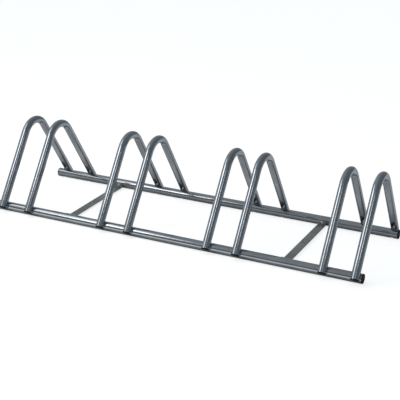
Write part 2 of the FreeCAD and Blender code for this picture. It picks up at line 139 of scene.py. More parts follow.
class Shell:
    """Grids of points that are welded into one closed surface."""

    def __init__(self):
        self.points = []
        self.uvs = []
        self.inside = []
        self.quads = []
        self.count = 0

    def grid(self, points, uv=None, keep=None, inside=0.0):
        """Add a (rows, columns, 3) grid; keep says which of its cells are there.

        inside is 1 for a surface in the hollow of a tube and 0 for any other.
        """
        points = np.asarray(points, float)
        rows, cols = points.shape[:2]
        if uv is None:
            uv = flat_uv(points)
        ids = self.count + np.arange(rows * cols).reshape(rows, cols)
        corners = [ids[:-1, :-1], ids[:-1, 1:], ids[1:, 1:], ids[1:, :-1]]
        quads = np.stack(corners, axis=-1)
        quads = quads.reshape(-1, 4) if keep is None else quads[keep]
        self.points.append(points.reshape(-1, 3))
        self.uvs.append(np.asarray(uv, float).reshape(-1, 2))
        self.inside.append(np.full(rows * cols, inside))
        self.quads.append(quads)
        self.count += rows * cols

    def add(self, other, place=None):
        """Add another shell's surface, moved by the rule place(points)."""
        points = np.concatenate(other.points)
        self.points.append(points if place is None else place(points))
        self.uvs.append(np.concatenate(other.uvs))
        self.inside.append(np.concatenate(other.inside))
        self.quads.append(np.concatenate(other.quads) + self.count)
        self.count += other.count


def flat_uv(points):
    """Lengths along a grid's rows and columns, so that patterns keep their scale."""
    across = np.linalg.norm(np.diff(points, axis=1), axis=2)
    along = np.linalg.norm(np.diff(points, axis=0), axis=2)
    u = np.zeros(points.shape[:2])
    v = np.zeros(points.shape[:2])
    u[:, 1:] = np.cumsum(across, axis=1)
    v[1:, :] = np.cumsum(along, axis=0)
    return np.stack([v, u], axis=-1)


def piece(node, shell, material):
    """One mesh object from a shell: welded, faced outward, smooth but for its real edges."""
    quads = np.concatenate(shell.quads)
    uvs = np.concatenate(shell.uvs)[quads.reshape(-1)]
    used, quads = np.unique(quads, return_inverse=True)
    quads = quads.reshape(-1, 4)
    points = np.concatenate(shell.points)[used]
    inside = np.concatenate(shell.inside)[used]
    mesh = bpy.data.meshes.new(node + "_surface")
    mesh.vertices.add(len(points))
    mesh.vertices.foreach_set("co", points.reshape(-1))
    mesh.loops.add(quads.size)
    mesh.loops.foreach_set("vertex_index", quads.reshape(-1))
    mesh.polygons.add(len(quads))
    mesh.polygons.foreach_set("loop_start", np.arange(len(quads)) * 4)
    mesh.polygons.foreach_set("loop_total", np.full(len(quads), 4))
    layer = mesh.uv_layers.new(name="surface")
    layer.data.foreach_set("uv", uvs.reshape(-1))
    hollow = mesh.attributes.new("inside", "FLOAT", "POINT")
    hollow.data.foreach_set("value", inside)
    mesh.update(calc_edges=True)
    work = bmesh.new()
    work.from_mesh(mesh)
    bmesh.ops.remove_doubles(work, verts=work.verts, dist=WELD)
    bmesh.ops.dissolve_degenerate(work, edges=work.edges, dist=WELD / 2)
    bmesh.ops.recalc_face_normals(work, faces=work.faces)
    work.to_mesh(mesh)
    work.free()
    mesh.polygons.foreach_set("use_smooth", np.ones(len(mesh.polygons), bool))
    mesh.set_sharp_from_angle(angle=SHARP)
    mesh.materials.append(material)
    made = bpy.data.objects.new(node + "_piece", mesh)
    bpy.context.scene.collection.objects.link(made)
    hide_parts(node)
    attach(made, "root")
    return made


def steps(first, last, count):
    """Evenly spaced values with both ends, count steps apart."""
    return np.linspace(first, last, count + 1)


def joined(*runs):
    """Runs of values end to end, each start being the end before it."""
    return np.concatenate([runs[0]] + [run[1:] for run in runs[1:]])


def at_height(flat, height):
    """Points of a plane lifted to a height."""
    return np.concatenate([flat, np.full(flat.shape[:-1] + (1,), height)], axis=-1)


def half_turn(points):
    """Turned by half a turn about the upright axis."""
    return points * np.array([-1.0, -1.0, 1.0])


def shifted(x=0.0, y=0.0, z=0.0):
    """A rule that moves points."""
    return lambda points: points + np.array([x, y, z])


def half_turned(x=0.0, y=0.0, z=0.0):
    """A rule that gives points half a turn and then moves them."""
    return lambda points: half_turn(points) + np.array([x, y, z])


def placed(surface, *rules):
    """A new shell holding one copy of a surface for each rule."""
    shell = Shell()
    for rule in rules:
        shell.add(surface, rule)
    return shell


def lathe(shell, profile, around=48):
    """Surface of revolution about Z: the profile's (radius, height) points swept round.

    Point = (radius cos a, radius sin a, height) for the angle a from 0 to a full turn.
    """
    profile = np.asarray(profile, float)
    angle = steps(0, 2 * math.pi, around)
    radius = profile[:, 0][:, None]
    height = np.repeat(profile[:, 1][:, None], around + 1, axis=1)
    shell.grid(np.stack([radius * np.cos(angle), radius * np.sin(angle), height], axis=-1))


def arc(centre_r, centre_h, radius, start, end, count=6):
    """Profile points on a circular arc, angles in degrees from the radial direction."""
    angle = np.radians(steps(start, end, count))
    return np.stack([centre_r + radius * np.cos(angle), centre_h + radius * np.sin(angle)], axis=-1)


def ring_to_square(columns, rows, hole, rings=4):
    """Grid between a round hole and a rectangle, both centred on zero in a plane.

    columns and rows are the rectangle's border values.  Each border point is joined to
    the point of the circle at the same angle, in equal steps; the grid is closed.
    """
    bottom = np.stack([columns, np.full(len(columns), rows[0])], axis=-1)
    right = np.stack([np.full(len(rows), columns[-1]), rows], axis=-1)
    top = np.stack([columns[::-1], np.full(len(columns), rows[-1])], axis=-1)
    left = np.stack([np.full(len(rows), columns[0]), rows[::-1]], axis=-1)
    border = np.concatenate([bottom[:-1], right[:-1], top[:-1], left])
    angle = np.arctan2(border[:, 1] / rows[-1], border[:, 0] / columns[-1])
    circle = hole * np.stack([np.cos(angle), np.sin(angle)], axis=-1)
    blend = steps(0, 1, rings)[:, None, None]
    return circle * (1 - blend) + border * blend


# ---------------------------------------------------------------------------
# Hoop
# ---------------------------------------------------------------------------

TAIL_REACH = math.sqrt(SADDLE_R ** 2 - LEG_TAIL ** 2)
ANGLE_SLACK = 1e-9


class TubeSkin:
    """The angles at which one skin of the hoop's tube meets its cuts.

    The angle about the leg's centre line is zero on the side that faces the rail.
    """

    def __init__(self, radius):
        self.radius = radius
        self.inside = float(radius < HOOP_R)
        self.window = math.asin(WINDOW_HALF / radius)
        self.saddle = math.acos((LEG_OFFSET - SADDLE_R) / radius)
        self.tail = math.acos((LEG_OFFSET - TAIL_REACH) / radius)
        arch = WINDOW_HALF * np.sin(steps(0, math.pi / 2, 8))
        side = joined(np.arcsin(arch / radius), steps(self.window, self.saddle, 6),
                      steps(self.saddle, math.pi, 14))
        self.around = np.concatenate([-side[:0:-1], side])
        self.over_window = np.abs(self.around) < self.window + ANGLE_SLACK
        below = joined(steps(self.tail, self.saddle, 6), steps(self.saddle, math.pi, 14))
        self.under = np.concatenate([below, 2 * math.pi - below[-2::-1]])

    def saddle_reach(self, around):
        """Distance up or down the leg from the crossing to the saddle's edge.

        The leg's skin at this angle lies "out" from the rail's axis, and the saddle is a
        circle about that axis, so the reach is the other side of a right triangle.
        """
        out = LEG_OFFSET - self.radius * np.cos(around)
        return np.sqrt(np.maximum(SADDLE_R ** 2 - out ** 2, 0))

    def arch(self, around):
        """Height of the window's arch, or of its spring beside the window."""
        across = self.radius * np.sin(around)
        rise = np.sqrt(np.maximum(WINDOW_HALF ** 2 - across ** 2, 0))
        return WINDOW_SPRING + np.where(np.abs(around) < math.pi / 2, rise, 0)


def on_leg(across, out, up):
    """Point beside the rear leg: across along X, out from its centre line, up along it."""
    y = CROSS_Y + out * math.cos(TILT) - up * math.sin(TILT)
    z = CROSS_Z + out * math.sin(TILT) + up * math.cos(TILT)
    return np.stack(np.broadcast_arrays(across, y, z), axis=-1)


def skin_on_leg(skin, around, up):
    """Point of the rear leg's skin at an angle about its centre line and a height."""
    return on_leg(skin.radius * np.sin(around), -skin.radius * np.cos(around), up)


def skin_uv(skin, around, up):
    """Lengths along and around the tube."""
    return np.stack(np.broadcast_arrays(up, skin.radius * around), axis=-1)


def foot_rows(skin):
    """Heights of the foot's grid rows over the angles, from the saddle to the plain tube.

    Between the saddle's edge, the window's sill, its arch and the plain tube the rows are
    spread evenly.  The second value says which rows lie beside the window.
    """
    around = skin.around
    edges = [skin.saddle_reach(around), np.full(len(around), WINDOW_BOTTOM),
             skin.arch(around), np.full(len(around), FOOT_TOP)]
    below, beside, above = 3, 8, 4
    rows = [edges[0][None]]
    for low, high, count in zip(edges, edges[1:], (below, beside, above)):
        share = steps(0, 1, count)[1:, None]
        rows.append(low * (1 - share) + high * share)
    return np.concatenate(rows), slice(below, below + beside)


def add_foot(shell):
    """The rear leg's foot: both skins, their cut edges and the arched window.

    Each skin is the grid of angle and height whose lowest row follows the rail's circle
    and whose rows over the window follow the arch; the cells inside it are left out.
    """
    names = ("saddle", "sill", "arch", "left", "right", "under_near", "tail", "under_far")
    edges = {name: [] for name in names}
    for skin in (TubeSkin(HOOP_R), TubeSkin(HOOP_BORE_R)):
        rows, beside_window = foot_rows(skin)
        points = skin_on_leg(skin, skin.around, rows)
        in_window = skin.over_window[:-1] & skin.over_window[1:]
        keep = np.ones((len(rows) - 1, len(in_window)), bool)
        keep[beside_window, in_window] = False
        shell.grid(points, skin_uv(skin, skin.around, rows), keep, skin.inside)
        sill, arch = beside_window.start, beside_window.stop
        window = np.flatnonzero(skin.over_window)
        on_saddle = np.abs(skin.around) < skin.saddle + ANGLE_SLACK
        edges["saddle"].append(points[0, on_saddle])
        edges["sill"].append(points[sill, window])
        edges["arch"].append(points[arch, window])
        edges["left"].append(points[sill:arch + 1, window[0]])
        edges["right"].append(points[sill:arch + 1, window[-1]])
        share = steps(0, 1, 3)[:, None]
        rows = -LEG_TAIL * (1 - share) - skin.saddle_reach(skin.under) * share
        points = skin_on_leg(skin, skin.under, rows)
        shell.grid(points, skin_uv(skin, skin.under, rows), inside=skin.inside)
        near = skin.under <= skin.saddle + ANGLE_SLACK
        far = skin.under >= 2 * math.pi - skin.saddle - ANGLE_SLACK
        edges["tail"].append(points[0])
        edges["under_near"].append(points[-1, near])
        edges["under_far"].append(points[-1, far])
    for outer, inner in edges.values():
        shell.grid(np.stack([outer, (outer + inner) / 2, inner]))


def add_arch_sweep(shell):
    """The plain tube from one foot over the top to the other foot.

    The centre line is a straight leg, an arc of the bend radius and the other leg; a
    circle is swept along it, slightly flattened towards the middle of the bend.
    """
    straight = steps(FOOT_TOP, LEG_TOP, 10)
    bend = steps(TILT, math.pi - TILT, 44)
    leg = np.full(len(straight), TILT)
    leg_y = CROSS_Y - straight * math.sin(TILT)
    leg_z = CROSS_Z + straight * math.cos(TILT)
    turn = joined(leg, bend, math.pi - leg)
    centre_y = joined(leg_y, BEND_R * np.cos(bend), -leg_y[::-1])
    centre_z = joined(leg_z, BEND_Z + BEND_R * np.sin(bend), leg_z[::-1])
    bent = np.clip((turn - TILT) / (math.pi - 2 * TILT), 0, 1)
    squeeze = BEND_FLATTENING * np.sin(math.pi * bent) ** 0.5
    run = np.concatenate([[0], np.cumsum(np.hypot(np.diff(centre_y), np.diff(centre_z)))])
    for radius in (HOOP_R, HOOP_BORE_R):
        skin = TubeSkin(radius)
        inward = (radius - squeeze[:, None]) * np.cos(skin.around)
        x = radius * np.sin(skin.around) * np.ones_like(inward)
        y = centre_y[:, None] - inward * np.cos(turn)[:, None]
        z = centre_z[:, None] - inward * np.sin(turn)[:, None]
        uv = skin_uv(skin, skin.around[None], FOOT_TOP + run[:, None])
        shell.grid(np.stack([x, y, z], axis=-1), uv, inside=skin.inside)


def tongue():
    """The strip folded in from the window's sill: a plate with a round tip and a hole.

    Around the hole the outline is two straight sides, the root and the half-round tip.
    """
    tip_centre = TONGUE_REACH - TONGUE_HALF
    ease = 0.25 * MM
    tip = steps(0, math.pi, 16)
    side = steps(-TONGUE_ROOT, tip_centre, 6)
    root = steps(-TONGUE_HALF, TONGUE_HALF, 8)
    outline_x = joined(np.full(len(side), TONGUE_HALF), TONGUE_HALF * np.cos(tip),
                       np.full(len(side), -TONGUE_HALF), root)
    outline_y = joined(side, tip_centre + TONGUE_HALF * np.sin(tip), side[::-1],
                       np.full(len(root), -TONGUE_ROOT))
    angle = np.arctan2(outline_y, outline_x)
    hole = TONGUE_HOLE_R * np.stack([np.cos(angle), np.sin(angle)], axis=-1)
    outline = np.stack([outline_x, outline_y], axis=-1)
    share = steps(0, 1, 3)[:, None, None]
    face = hole * (1 - share) + outline * share
    face[-1] = outline * (1 - ease / np.linalg.norm(outline, axis=1, keepdims=True))
    low = at_height(face, TONGUE_LOW)
    high = at_height(face, TONGUE_TOP)
    shell = Shell()
    shell.grid(low)
    shell.grid(high)
    shell.grid(np.stack([low[0], high[0]]))
    shell.grid(np.stack([low[-1], at_height(outline, TONGUE_LOW + ease),
                         at_height(outline, TONGUE_TOP - ease), high[-1]]))
    return shell


def on_rear_rail(points):
    """From the clamp's own frame, seat axis upright, to the rear rail."""
    x, y, z = points[:, 0], points[:, 1], points[:, 2]
    turned_y = y * math.cos(CLAMP_TILT) + z * math.sin(CLAMP_TILT)
    turned_z = z * math.cos(CLAMP_TILT) - y * math.sin(CLAMP_TILT)
    return np.stack([x, turned_y + RAIL_Y, turned_z + RAIL_R], axis=-1)


def hoop_shell():
    """A hoop on X = 0: both feet with their tongues, and the tube between them."""
    foot = Shell()
    add_foot(foot)
    foot.add(tongue(), on_rear_rail)
    shell = placed(foot, None, half_turn)
    add_arch_sweep(shell)
    return shell


# ---------------------------------------------------------------------------
# Rails
# ---------------------------------------------------------------------------

RAIL_COLUMNS = 72
COLUMN_TURN = 2 * math.pi / RAIL_COLUMNS
PATCH_COLUMNS = 18
PATCH_HALF = 11 * MM
PLAIN_ROWS = 4


def rail_holes(side):
    """(x, angle from the top towards the outside, hole radius) of every hole in a rail.

    side is 1 for the rail as drawn and -1 for the one that is then turned about.
    """
    holes = []
    for x in HOOP_X:
        holes.append((side * x, CLAMP_TILT, BOLT_HOLE_R))
        holes.append((side * x, CLAMP_TILT + math.pi, ACCESS_HOLE_R))
    for x in BAR_X:
        holes.append((side * x, -math.pi / 2, SLEEVE_HOLE_R))
    return holes


def on_tube(radius, x, angle):
    """Point of a skin of the rear rail at a length and an angle from the top."""
    y = RAIL_Y + radius * np.sin(angle)
    z = RAIL_R + radius * np.cos(angle)
    return np.stack(np.broadcast_arrays(x, y, z), axis=-1)


def add_rail_band(shell, radius, x, angles, keep=None):
    """A band of a rail's skin: its grid is length along the rail by angle round it."""
    points = on_tube(radius, x[:, None], angles[None])
    uv = np.stack(np.broadcast_arrays(x[:, None], radius * angles[None]), axis=-1)
    shell.grid(points, uv, keep)


def add_hole_patch(shell, radius, x, turn, hole_r):
    """The rings of cells round one hole, and the round edge that they leave.

    The rings are drawn flat, as length along the rail and arc round it, and bent onto the
    skin.  On the edge itself the arc is the angle whose sine is its height in the hole,
    so that the hole is round when it is seen along its own axis.
    """
    patch_x = steps(-PATCH_HALF, PATCH_HALF, PATCH_COLUMNS)
    patch_turn = PATCH_COLUMNS / 2 * COLUMN_TURN
    patch_arc = steps(-patch_turn, patch_turn, PATCH_COLUMNS) * radius
    flat = ring_to_square(patch_x, patch_arc, hole_r)
    across = flat[..., 1] / radius
    across[0] = np.arcsin(np.clip(flat[0, :, 1] / radius, -1, 1))
    points = on_tube(radius, x + flat[..., 0], turn + across)
    uv = np.stack([x + flat[..., 0], (turn + across) * radius], axis=-1)
    shell.grid(points, uv)
    return points[0]


def rail_shell(side):
    """Both skins of a rail, drawn at the rear, with all their holes.

    The tube is a grid of length and angle.  Where a hole lies, a square of cells is left
    out and filled by rings of cells that run from the square to the round edge.
    """
    shell = Shell()
    holes = rail_holes(side)
    angles = CLAMP_TILT + steps(0, 2 * math.pi, RAIL_COLUMNS)
    patch_x = steps(-PATCH_HALF, PATCH_HALF, PATCH_COLUMNS)
    rims = []
    for radius in (RAIL_R, RAIL_BORE_R):
        rim_edges = []
        done = -RAIL_LENGTH / 2
        for x in sorted({hole[0] for hole in holes}):
            add_rail_band(shell, radius, steps(done, x - PATCH_HALF, PLAIN_ROWS), angles)
            keep = np.ones((PATCH_COLUMNS, RAIL_COLUMNS), bool)
            for place, turn, hole_r in holes:
                if place != x:
                    continue
                first = round((turn - CLAMP_TILT) / COLUMN_TURN) - PATCH_COLUMNS // 2
                keep[:, np.arange(first, first + PATCH_COLUMNS) % RAIL_COLUMNS] = False
                rim_edges.append(add_hole_patch(shell, radius, x, turn, hole_r))
            add_rail_band(shell, radius, x + patch_x, angles, keep)
            done = x + PATCH_HALF
        add_rail_band(shell, radius, steps(done, RAIL_LENGTH / 2, PLAIN_ROWS), angles)
        rims.append(rim_edges)
    for outer, inner in zip(*rims):
        shell.grid(np.stack([outer, inner]))
    for end in (-RAIL_LENGTH / 2, RAIL_LENGTH / 2):
        rings = [on_tube(radius, end, angles) for radius in (RAIL_R, RAIL_BORE_R)]
        shell.grid(np.stack(rings))
    return shell


# ---------------------------------------------------------------------------
# Black plastic ends
# ---------------------------------------------------------------------------


def grip_ribs(fit, rib):
    """Profile of the rings on a cap's neck: a quick rise to the fit and a slow fall."""
    rise = 0.5 * MM
    fall = 1.4 * MM
    profile = []
    for number in range(CAP_RIBS):
        at = CAP_INSERT * (0.18 + 0.2 * number)
        profile += [(fit - rib, at), (fit, at + rise), (fit - rib, at + fall)]
    return profile


def rail_cap():
    """Cap of a rail end, turned from a profile about the rail's axis.

    From the middle out: the dished face, a rounded step up to the border, the rounded rim,
    the shoulder that meets the tube, the ribbed neck and the hollow behind the face.
    """
    fit = RAIL_BORE_R - INSERT_CLEARANCE
    wall = 2 * MM
    rib = 0.35 * MM
    step_r = 0.5 * MM
    ease = 0.25 * MM
    tip_ease = 0.6 * MM
    face = -CAP_RIM + DISH_DEPTH
    dish_r = RAIL_R - DISH_BORDER
    profile = np.concatenate([
        [(0.0, face), (dish_r - 0.8 * MM, face)],
        arc(dish_r - 0.8 * MM, face - step_r, step_r, 90, 20, 4),
        arc(dish_r + 0.6 * MM, -CAP_RIM + step_r, step_r, 200, 270, 4),
        arc(RAIL_R - RIM_ROUNDING, -CAP_RIM + RIM_ROUNDING, RIM_ROUNDING, 270, 360, 8),
        [(RAIL_R, -ease), (RAIL_R - ease, 0.0), (fit - rib, 0.0)],
        grip_ribs(fit, rib),
        [(fit - rib - tip_ease, CAP_INSERT), (fit - wall, CAP_INSERT), (fit - wall, wall), (0.0, wall)],
    ])
    shell = Shell()
    lathe(shell, profile, RAIL_COLUMNS)
    return shell


def cap_on_right_end(points):
    """From the cap's own frame, axis upright, to a right-hand rail end on Y = Z = 0."""
    return np.stack([RAIL_LENGTH / 2 - points[:, 2], points[:, 0], points[:, 1]], axis=-1)


def add_cut_disc(shell, radius, low, high, round_low):
    """A disc on the rear leg's axis between two heights, cut by the rail's circle.

    At each height the outline is the part of the circle beyond the rail's circle and the
    chord that closes it; each end face is filled by straight rows along X.  The lowest
    edge is rounded by round_low.
    """
    levels = steps(low, high, 8)
    if round_low:
        rounding = round_low * (1 - np.cos(steps(0, math.pi / 2, 6)))
        levels = joined(low + rounding, steps(low + round_low, high, 4))
    drop = np.maximum(round_low - (levels - low), 0)
    radii = radius - (round_low - np.sqrt(np.maximum(round_low ** 2 - drop ** 2, 0)))
    reach = np.sqrt(np.maximum(SADDLE_R ** 2 - levels ** 2, 0))
    start = np.arccos(np.clip((LEG_OFFSET - reach) / radii, -1, 1))[:, None]
    share = steps(0, 1, 40)
    around = start * (1 - share) + (2 * math.pi - start) * share
    across = radii[:, None] * np.sin(around)
    out = -radii[:, None] * np.cos(around)
    shell.grid(on_leg(across, out, levels[:, None]))
    chord = steps(1, -1, 10)
    on_chord = np.ones(len(chord))
    shell.grid(on_leg(across[:, :1] * chord, out[:, :1] * on_chord, levels[:, None]))
    half = len(share) // 2 + 1
    for row in (0, -1):
        wide = across[row, :half, None] * chord
        deep = out[row, :half, None] * on_chord
        shell.grid(on_leg(wide, deep, levels[row]))


def leg_plug():
    """Plug of a rear leg: its rim below the tube's end and its sleeve inside the tube."""
    shell = Shell()
    add_cut_disc(shell, HOOP_R, -LEG_TAIL - PLUG_RIM, -LEG_TAIL, RIM_ROUNDING)
    sleeve = HOOP_BORE_R - INSERT_CLEARANCE
    add_cut_disc(shell, sleeve, -LEG_TAIL, -LEG_TAIL + PLUG_INSERT, 0)
    return shell


# ---------------------------------------------------------------------------
# Cross bars
# ---------------------------------------------------------------------------


BAR_COLUMNS = 10
BAR_ROWS = 30


def bar_path():
    """Middle line of half a bar, from the floor hole's patch to the top of its tab.

    It runs level, turns up through a quarter circle and stands straight.  With it go its
    turn from level and how much narrower the tab's round corners make half the strip.
    """
    middle_r = BAR_FOLD_R + BAR_THICK / 2
    flat_end = BAR_END_Y - BAR_THICK / 2 - middle_r
    flat_z = BAR_LOW + BAR_THICK / 2
    corner_z = BAR_TOP - BAR_CORNER_R
    quarter = steps(0, math.pi / 2, 8)
    flat = steps(BAR_WIDTH / 2, flat_end, BAR_ROWS)
    fold_z = flat_z + middle_r * (1 - np.cos(quarter))
    tab = joined(steps(fold_z[-1], corner_z, 5), corner_z + BAR_CORNER_R * np.sin(quarter))
    y = joined(flat, flat_end + middle_r * np.sin(quarter))
    y = joined(y, np.full(len(tab), y[-1]))
    z = joined(np.full(len(flat), flat_z), fold_z, tab)
    turn = joined(np.zeros(len(flat)), quarter, np.full(len(tab), math.pi / 2))
    over = np.clip(z - corner_z, 0, BAR_CORNER_R)
    narrowing = BAR_CORNER_R - np.sqrt(BAR_CORNER_R ** 2 - over ** 2)
    return y, z, turn, narrowing


def bar_half_section():
    """Half of the strip's outline as (across, through) points: its top and right edge."""
    half_w = BAR_WIDTH / 2 - BAR_EDGE_R
    half_t = BAR_THICK / 2 - BAR_EDGE_R
    flat = steps(-half_w, half_w, BAR_COLUMNS)
    runs = [np.stack([flat, np.full(len(flat), BAR_THICK / 2)], axis=-1)]
    for start, centre in ((90, half_t), (0, -half_t)):
        runs.append(arc(half_w, centre, BAR_EDGE_R, start, start - 90, 4))
    return np.concatenate([runs[0], runs[1][1:], runs[2]])


def cross_bar():
    """A bar on X = 0: the strip's outline swept along its middle line, both halves."""
    right = bar_half_section()
    section = np.concatenate([right, -right[1:], right[:1]])
    y, z, turn, narrowing = bar_path()
    scale = 1 - narrowing[:, None] / (BAR_WIDTH / 2)
    through = section[None, :, 1]
    points_y = y[:, None] - through * np.sin(turn)[:, None]
    points_z = z[:, None] + through * np.cos(turn)[:, None]
    points = np.stack([section[None, :, 0] * scale, points_y, points_z], axis=-1)
    half = Shell()
    half.grid(points)
    end = points[-1]
    half.grid(np.stack([end, np.repeat(end.mean(axis=0, keepdims=True), len(end), axis=0)]))
    shell = placed(half, None, half_turn)
    add_bar_middle(shell, right)
    return shell


def add_bar_middle(shell, right):
    """The square of strip round the floor hole, with the hole's wall and eased edge.

    Rings of cells run from each face's border to the hole, and the edge's outline is
    carried straight along Y.
    """
    length = steps(-BAR_WIDTH / 2, BAR_WIDTH / 2, BAR_COLUMNS)
    flat = right[:BAR_COLUMNS + 1, 0]
    centre_z = BAR_LOW + BAR_THICK / 2
    ease = 0.3 * MM
    rims = []
    for side in (1, -1):
        face = ring_to_square(flat, length, BAR_HOLE_R + ease, 5)
        lifted_face = at_height(face, centre_z + side * BAR_THICK / 2)
        shell.grid(lifted_face)
        edge = face[0] / (BAR_HOLE_R + ease) * BAR_HOLE_R
        rims.append((lifted_face[0], at_height(edge, centre_z + side * (BAR_THICK / 2 - ease))))
    (top, wall_top), (bottom, wall_bottom) = rims
    shell.grid(np.stack([top, wall_top, wall_bottom, bottom]))
    for edge in (right[BAR_COLUMNS:], -right[BAR_COLUMNS:]):
        x, through = edge[None, :, 0], edge[None, :, 1]
        shell.grid(np.stack(np.broadcast_arrays(x, length[:, None], centre_z + through), axis=-1))


# ---------------------------------------------------------------------------
# Fasteners, each on the Z axis with its seat at z = 0
# ---------------------------------------------------------------------------


FASTENER_COLUMNS = 60
KEY_EASE = 0.5 * MM


def hex_radius(angle, flats):
    """Distance to a hexagon's side, corners on the X axis."""
    sector = np.mod(angle, math.pi / 3) - math.pi / 6
    return flats / 2 / np.cos(sector)


def hex_to_round(shell, flats, levels, round_radii):
    """A hexagon bar trimmed by a round profile: radius = the smaller of the two.

    levels are heights and round_radii the turned profile's radius at each of them.
    """
    angle = steps(0, 2 * math.pi, FASTENER_COLUMNS)
    radius = np.minimum(hex_radius(angle, flats)[None], round_radii[:, None])
    z = np.repeat(levels[:, None], len(angle), axis=1)
    shell.grid(np.stack([radius * np.cos(angle), radius * np.sin(angle), z], axis=-1))


def dome_nut():
    """Hexagon nut with a round dome; its corners are cut back to the faces at both ends."""
    flats = 10 * MM
    hex_top = 6.5 * MM
    height = 12 * MM
    dome_r = 4.75 * MM
    low_chamfer = 0.45 * MM
    top_chamfer = 0.8 * MM
    ease = 0.1 * MM
    bore = 3.1 * MM
    bore_depth = 4 * MM
    bore_chamfer = 0.3 * MM
    corner = flats / 2 / math.cos(math.pi / 6)
    face = flats / 2 - ease
    low = steps(0, low_chamfer, 4)
    high = steps(hex_top - top_chamfer, hex_top, 5)
    levels = joined(low, steps(low_chamfer, hex_top - top_chamfer, 3), high)
    fall = np.clip((low_chamfer - levels) / low_chamfer, 0, 1)
    fall += np.clip((levels - high[0]) / (hex_top - high[0]), 0, 1)
    collar = [(bore, bore_depth), (bore, bore_chamfer), (bore + bore_chamfer, 0.0), (face, 0.0)]
    shoulder = [(face, hex_top), (dome_r + ease, hex_top), (dome_r, hex_top + ease)]
    dome = arc(0, height - dome_r, dome_r, 0, 90, 14)
    shell = Shell()
    hex_to_round(shell, flats, levels, corner - fall * (corner - face))
    lathe(shell, collar, FASTENER_COLUMNS)
    lathe(shell, np.concatenate([shoulder, dome]), FASTENER_COLUMNS)
    lathe(shell, [(bore, bore_depth), (0.0, bore_depth)], FASTENER_COLUMNS)
    return shell


def clamp_bolt():
    """Socket head screw: head below z = 0 with its key hole, plain shank above."""
    head = 6 * MM
    key = 5 * MM
    key_depth = 3 * MM
    shank_r = 3 * MM
    reach = 12 * MM
    rounding = 0.5 * MM
    ease = 0.2 * MM
    tip = 0.6 * MM
    profile = np.concatenate([
        [(key / 2 + KEY_EASE, -head)],
        arc(BOLT_HEAD_R - rounding, rounding - head, rounding, 270, 360, 4),
        [(BOLT_HEAD_R, -ease), (BOLT_HEAD_R - ease, 0.0), (shank_r, 0.0)],
        [(shank_r, reach - tip), (shank_r - tip, reach), (0.0, reach)],
    ])
    shell = Shell()
    lathe(shell, profile, FASTENER_COLUMNS)
    add_socket(shell, key, -head, key_depth)
    return shell


def add_socket(shell, flats, mouth, depth):
    """Hexagon key hole, its mouth at a height and eased to a circle.

    A positive depth goes up from the mouth and a negative one down.
    """
    angle = steps(0, 2 * math.pi, FASTENER_COLUMNS)
    side = hex_radius(angle, flats)
    circle = np.full(len(angle), flats / 2 + KEY_EASE)
    inward = math.copysign(1, depth)
    bottom = mouth + depth
    rings = [
        (circle, mouth),
        (side, mouth + inward * 0.35 * MM),
        (side, bottom - inward * 0.2 * MM),
        (0.9 * side, bottom),
        (0 * side, bottom),
    ]
    rows = []
    for radius, height in rings:
        flat = np.stack([radius * np.cos(angle), radius * np.sin(angle)], axis=-1)
        rows.append(at_height(flat, height))
    shell.grid(np.stack(rows))


def bar_screw():
    """Button head screw: domed head above z = 0, plain shank below."""
    head_r = 4.75 * MM
    head_rise = 2.75 * MM
    key = 3 * MM
    key_depth = 1.5 * MM
    shank_r = 2.5 * MM
    reach = 10 * MM
    tip = 0.5 * MM
    ease = 0.1 * MM
    crown = (head_r ** 2 + head_rise ** 2) / (2 * head_rise)
    lowest = math.degrees(math.atan2(crown - head_rise, head_r))
    highest = math.degrees(math.acos((key / 2 + KEY_EASE) / crown))
    dome = arc(0, head_rise - crown, crown, lowest, highest, 12)
    profile = np.concatenate([
        [(0.0, -reach), (shank_r - tip, -reach), (shank_r, tip - reach), (shank_r, 0.0)],
        [(head_r - ease, 0.0)],
        dome,
    ])
    shell = Shell()
    lathe(shell, profile, FASTENER_COLUMNS)
    add_socket(shell, key, dome[-1, 1], -key_depth)
    return shell


def rail_insert():
    """Flanged threaded sleeve: flange above z = 0, sleeve with its collar below."""
    bore = 2.6 * MM
    flange_r = 5 * MM
    sleeve_r = 3.5 * MM
    collar_r = 4.4 * MM
    collar_top = -2.6 * MM
    collar_low = -5 * MM
    end = -9 * MM
    ease = 0.2 * MM
    profile = [
        (bore, FLANGE), (flange_r - ease, FLANGE), (flange_r, FLANGE - ease), (flange_r, 0.0),
        (sleeve_r, 0.0), (sleeve_r, collar_top), (collar_r, collar_top - ease),
        (collar_r, collar_low + 2 * ease), (sleeve_r, collar_low), (sleeve_r, end),
        (bore, end), (bore, FLANGE),
    ]
    shell = Shell()
    lathe(shell, profile)
    return shell


def lifted(height):
    """A rule that moves along the seat axis and then onto the rear rail."""
    return lambda points: on_rear_rail(points + np.array([0.0, 0.0, height]))


def at_both_rails(rear, places):
    """Copies of a rear shell at each X, and their turned copies at the front rail."""
    rules = []
    for x in places:
        rules += [shifted(x), half_turned(x)]
    return placed(rear, *rules)


def at_every_foot(fastener, place):
    """Sixteen copies of a fastener, one at each foot of each hoop."""
    return at_both_rails(placed(fastener, place), HOOP_X)


def at_bar_ends(fastener, seat_y):
    """Four copies of a fastener lying along Y, its upright axis pointing to the middle."""

    def lay(points):
        return np.stack([points[:, 0], seat_y - points[:, 2], points[:, 1] + SCREW_Z], axis=-1)

    return at_both_rails(placed(fastener, lay), BAR_X)


# ---------------------------------------------------------------------------
# Materials
# ---------------------------------------------------------------------------


